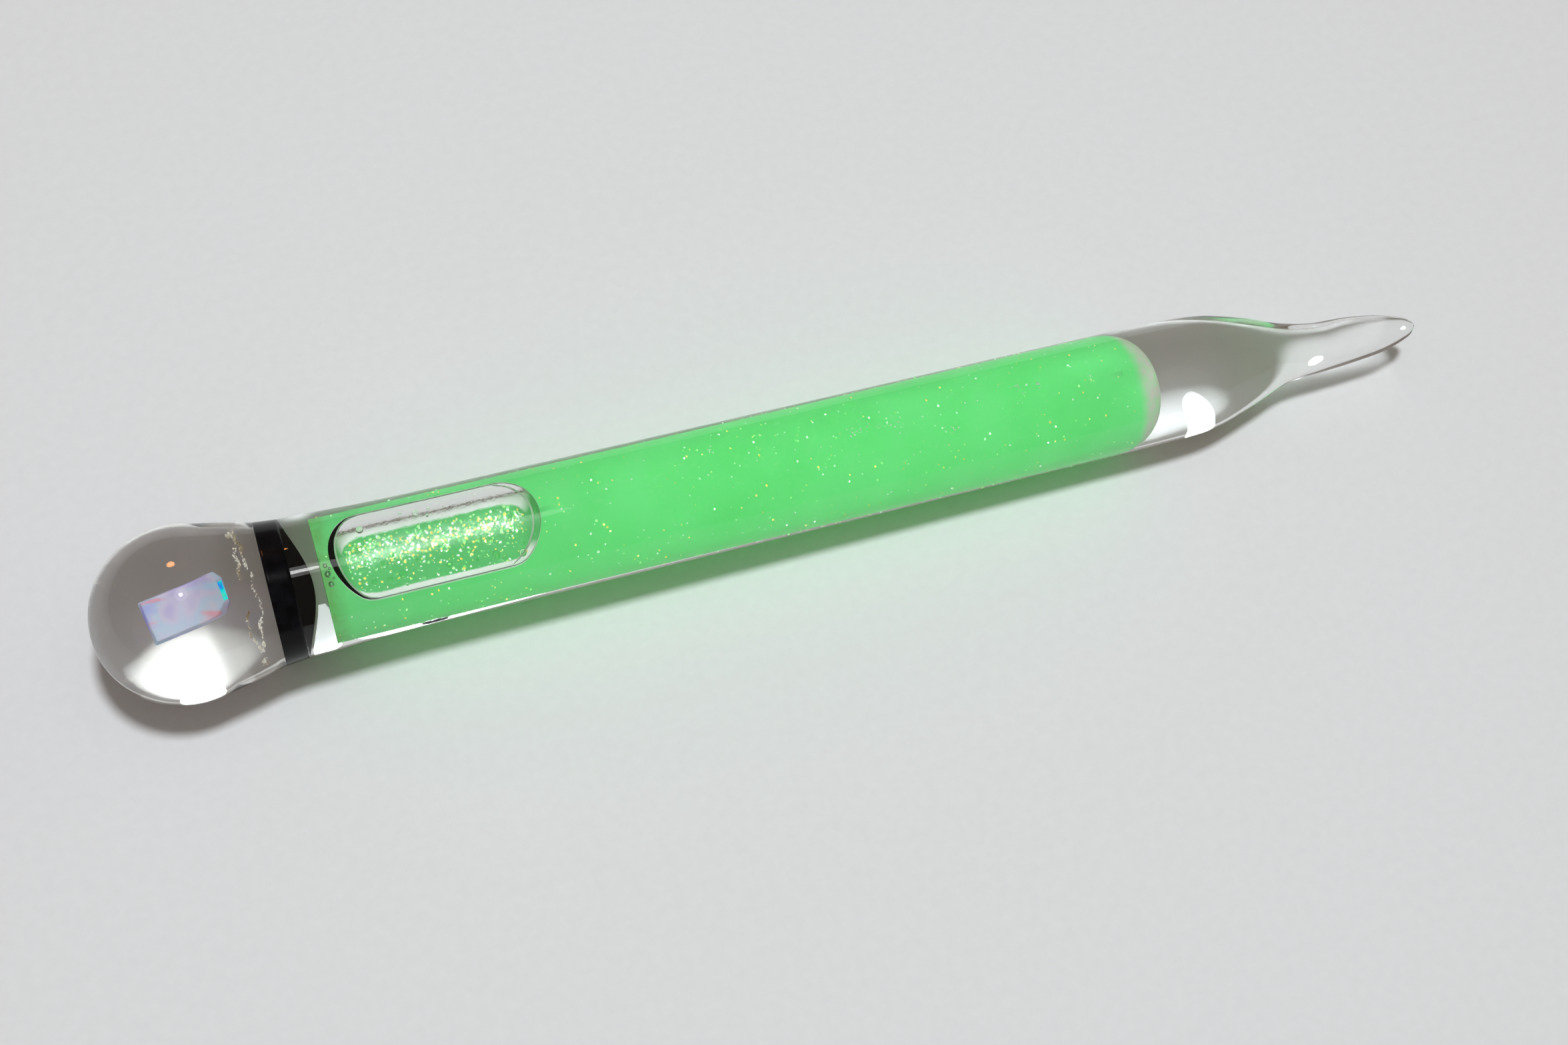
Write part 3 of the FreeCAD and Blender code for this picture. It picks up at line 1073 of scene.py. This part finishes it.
def paintedShadeWidth(share, end):
    if share < 0.5:
        return rimLook["lineWidth"] + rimLook["nearShadeWidth"] * end ** 2.2
    return rimLook["lineWidth"]


def paintedEdgeTone(share, end):
    if share < 0.5:
        return 0.58 * max(0.0, 1 - 2.0 * end)
    return 0.58 + 0.20 * end


# painted shade: a dark curve at the near end and thin grey lines along the sides and far end
bubbleRimPaintedShade = rimRibbon("bubbleRimPaintedShade", lambda share, end: 0.0, paintedShadeWidth, paintedEdgeTone, paintedRimShadeAndLight)
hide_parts("air_bubble")


def paintedHighlightInset(share, end):
    if share < 0.5:
        return paintedShadeWidth(share, end) + 0.05 * mm * end
    return rimLook["lineWidth"] + rimLook["farRing"] * end ** 0.7


def paintedHighlightWidth(share, end):
    return (0.13 if share < 0.5 else 0.20) * mm * end ** 0.5


# painted highlight: a pale line just inside the bubble's edge
rimRibbon("bubbleRimPaintedHighlight", paintedHighlightInset, paintedHighlightWidth, lambda share, end: 0.80, paintedRimShadeAndLight)


airInGlass, nodes, links, shader = newMaterial("airInGlass")
shader.inputs["Transmission Weight"].default_value = 1.0
shader.inputs["Roughness"].default_value = 0.0
shader.inputs["IOR"].default_value = 1 / glassLook["ior"]
cloudyColour(nodes, links, shader, 900, 2, [(0.3, (0.93, 0.96, 0.93)), (0.7, (1, 1, 1))])

# radius, angle from straight up towards -Y, distance from the flat end
satellites = [(0.28, 18, 0.50), (0.26, 30, 0.62), (0.20, 8, 0.45), (0.12, 12, 0.75), (0.10, 24, 0.95)]
shells = []
for size, angle, distance in satellites:
    up = onAxisRing(0, 1, math.radians(-angle))
    centre = onAxisRing(tubeStart + distance * mm, boreRadius + wet + size * 0.62 * mm,
                        math.radians(-angle))
    shells.append(blob(centre, up, size * mm, size * 0.55 * mm, 20, 12))
clearFaces = sum(len(faces) for verts, faces in shells)
# painted shade: a dark ring round each small bubble
for size, angle, distance in satellites:
    up = onAxisRing(0, 1, math.radians(-angle))
    centre = onAxisRing(tubeStart + distance * mm, boreRadius + wet + 0.05 * mm, math.radians(-angle))
    shells.append(hoop(centre, up, size * 0.86 * mm, size * 0.17 * mm))
verts, faces = joined(shells)
satelliteBubbles = newPiece("satelliteBubbles", verts, faces, [airInGlass, paintedRimShadeAndLight],
                            [0] * clearFaces + [1] * (len(faces) - clearFaces))
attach(satelliteBubbles, "bubble")
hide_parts("satellite_bubbles")

dropLook = {
    "count": 34,
    "nearShare": 0.72,          # most drops hang on the near side of the bubble
}


def dropMaterial():
    material, nodes, links, shader = newMaterial("hangingDrop")
    shader.inputs["Transmission Weight"].default_value = 1.0
    shader.inputs["Roughness"].default_value = 0.03
    shader.inputs["IOR"].default_value = 1.12
    cloudyColour(nodes, links, shader, 1500, 2, [(0.3, (0.62, 0.95, 0.66)), (0.7, (0.90, 1.0, 0.90))])
    return material


random.seed(5)
shells = []
for k in range(dropLook["count"]):
    nearSide = random.random() < dropLook["nearShare"]
    angle = math.radians(random.uniform(-56, -12) if nearSide else random.uniform(25, 55))
    x = random.uniform(bubbleStart + 2.6 * mm, bubbleEnd - 2.2 * mm)
    size = random.choice((0.10, 0.14, 0.18, 0.26, 0.34)) * mm
    up = onAxisRing(0, 1, angle)
    centre = onAxisRing(x, boreRadius - 0.02 * mm, angle)
    shells.append(blob(centre, up, size, size * 0.42, 18, 8))
hangingDrops = newPiece("hangingDrops", *joined(shells), [dropMaterial()])
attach(hangingDrops, "bubble")
print("bubble made")


def flakeMaterial(name, dull, bright):
    material, nodes, links, shader = newMaterial(name)
    # the glow stands for light that the film scatters from all round
    cloudyColour(nodes, links, shader, 2500, 1, [(0.35, dull), (0.65, bright)], paintedGlow=0.50)
    shader.inputs["Metallic"].default_value = 0.40
    shader.inputs["Roughness"].default_value = 0.12
    return material


flakeLook = {
    "gold": ("gold_glitter", "gold_flake", (0.90, 0.72, 0.10), (1.0, 0.95, 0.35)),
    "silver": ("silver_glitter", "silver_flake", (0.70, 0.92, 0.80), (0.95, 1.0, 0.95)),
    "green": ("green_glitter", "green_flake", (0.25, 0.90, 0.25), (0.60, 1.0, 0.45)),
}
flakeCount = {"wall": 330, "floor": 260}     # of each colour
flakeTilt = {"wall": 0.30, "floor": 0.16}


def tilted(up, spread):
    return (up + Vector([random.gauss(0, spread) for _ in range(3)])).normalized()


def wallFlakes():
    # flakes that cling to the wall of the bore, fewer under the bubble
    shells = []
    while len(shells) < flakeCount["wall"]:
        x = random.uniform(tubeStart + 0.3 * mm, domeStart + 1.0 * mm)
        angle = random.uniform(-math.pi, math.pi)
        size = random.choice((0.05, 0.06, 0.07, 0.09, 0.12)) * mm
        if bubbleStart - size < x < bubbleEnd + size and abs(angle) < math.radians(66):
            continue
        up = onAxisRing(0, 1, angle)
        centre = onAxisRing(x, boreRadius + wet + 0.045 * mm, angle)
        shells.append(hexFlake(centre, tilted(up, flakeTilt["wall"]), size, 0.012 * mm,
                               random.uniform(0, 6)))
    return shells


def floorFlakes():
    # flakes lying on the liquid's surface under the bubble, thickest along its middle
    w, depth, level = bubbleShape["halfWidth"], bubbleShape["floorDepth"], bubbleShape["level"]
    shells = []
    while len(shells) < flakeCount["floor"]:
        x = random.uniform(bubbleStart + 1.4 * mm, bubbleEnd - 1.2 * mm)
        y = random.gauss(1.25, 0.75) * mm if random.random() < 0.7 else random.uniform(-2.7, 2.7) * mm
        near = bubbleSection(x)[1]
        rho = math.hypot(y, near) / w
        if rho > 0.80:
            continue
        z = level - depth * math.sqrt(1 - rho * rho)
        slope = depth / (w * w) / math.sqrt(1 - rho * rho)
        fromMiddle = near if x > bubbleMiddle else -near
        up = Vector((-fromMiddle * slope, -y * slope, 1)).normalized()
        size = random.choice((0.05, 0.06, 0.07, 0.08, 0.11, 0.14)) * mm
        shells.append(hexFlake(Vector((x, y, z)) + up * 0.03 * mm, tilted(up, flakeTilt["floor"]),
                               size, 0.012 * mm, random.uniform(0, 6)))
    return shells


random.seed(11)
for colour, (node, slot, dull, bright) in flakeLook.items():
    material = flakeMaterial(colour + "Flake", dull, bright)
    onWall = newPiece(colour + "FlakesOnWall", *joined(wallFlakes()), [material], smooth=False)
    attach(onWall, "fill")
    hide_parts(node)
    onFloor = newPiece(colour + "FlakesOnFloor", *joined(floorFlakes()), [material], smooth=False)
    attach(onFloor, "bubble")
print("glitter made")

seedLook = {
    "back": 2.4 * mm,           # how far behind the band's flat face the cloudy ring lies
    "wander": 0.75 * mm,
    "ringRadius": 4.25 * mm,
    "count": 420,
}


def neckSeeds():
    # a broken, wandering ring of fine specks where the ball was fused on
    s = seedLook
    shells = []
    while len(shells) < s["count"]:
        angle = random.uniform(-math.pi, math.pi)
        thick = noise.noise(Vector((math.cos(angle) * 1.8, math.sin(angle) * 1.8, 2.0)))
        if thick < -0.10 + 0.1 * random.random():
            continue
        drift = 1.3 * noise.noise(Vector((math.cos(angle) * 1.3, math.sin(angle) * 1.3, 7.0)))
        drift += 0.5 * noise.noise(Vector((math.cos(angle) * 5, math.sin(angle) * 5, 1.0)))
        x = bandFace - s["back"] + (drift + random.gauss(0, 0.10)) * s["wander"]
        radius = s["ringRadius"] + random.gauss(0, 0.10) * mm
        centre = onAxisRing(x, radius, angle)
        size = random.choice((0.035, 0.05, 0.07, 0.10)) * mm
        shells.append(blob(centre, tilted(Vector((0, 0, 1)), 0.6), size, size * 0.6, 6, 4))
    return shells


random.seed(23)
seedStone, nodes, links, shader = newMaterial("fusedSpecks")
# the glow stands for light scattered by the cracks
cloudyColour(nodes, links, shader, 420, 2,
             [(0.35, (0.30, 0.22, 0.10)), (0.46, (0.75, 0.70, 0.58)), (0.60, (0.92, 0.93, 0.88))], paintedGlow=0.26)
shader.inputs["Roughness"].default_value = 0.4
seeds = newPiece("neckSpecks", *joined(neckSeeds()), [seedStone])
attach(seeds, "wand")


def pearlClusters():
    # small pale crowds of flakes that cling to the wall further along
    shells = []
    for place, angle, spread, count in ((10.0, 2, 2.6, 26), (6.5, 5, 0.8, 12), (24.5, 8, 0.7, 14),
                                        (26.3, 6, 0.4, 8), (32.0, 4, 0.3, 5), (-8, 26, 0.4, 5),
                                        (16.5, -22, 1.2, 10)):
        for k in range(count):
            x = (place + random.gauss(0, 0.45) * spread) * mm
            a = math.radians(angle + random.gauss(0, 4.0))
            size = random.choice((0.04, 0.06, 0.09)) * mm
            shells.append(blob(onAxisRing(x, boreRadius + wet + 0.03 * mm, a), onAxisRing(0, 1, a),
                               size, size * 0.4, 8, 4))
    return shells


pearl, nodes, links, shader = newMaterial("pearlSpeck")
cloudyColour(nodes, links, shader, 900, 2, [(0.35, (0.62, 0.90, 0.66)), (0.65, (0.90, 0.97, 0.90))])
shader.inputs["Roughness"].default_value = 0.4
shader.inputs["Specular IOR Level"].default_value = 0.0
pearls = newPiece("pearlSpecks", *joined(pearlClusters()), [pearl])
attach(pearls, "fill")
print("specks made")

scene.view_settings.view_transform = "Standard"
scene.cycles.max_bounces = 24
scene.cycles.transmission_bounces = 20
scene.cycles.transparent_max_bounces = 16
scene.cycles.use_denoising = True
scene.cycles.blur_glossy = 0.0
scene.cycles.sample_clamp_indirect = 0.0
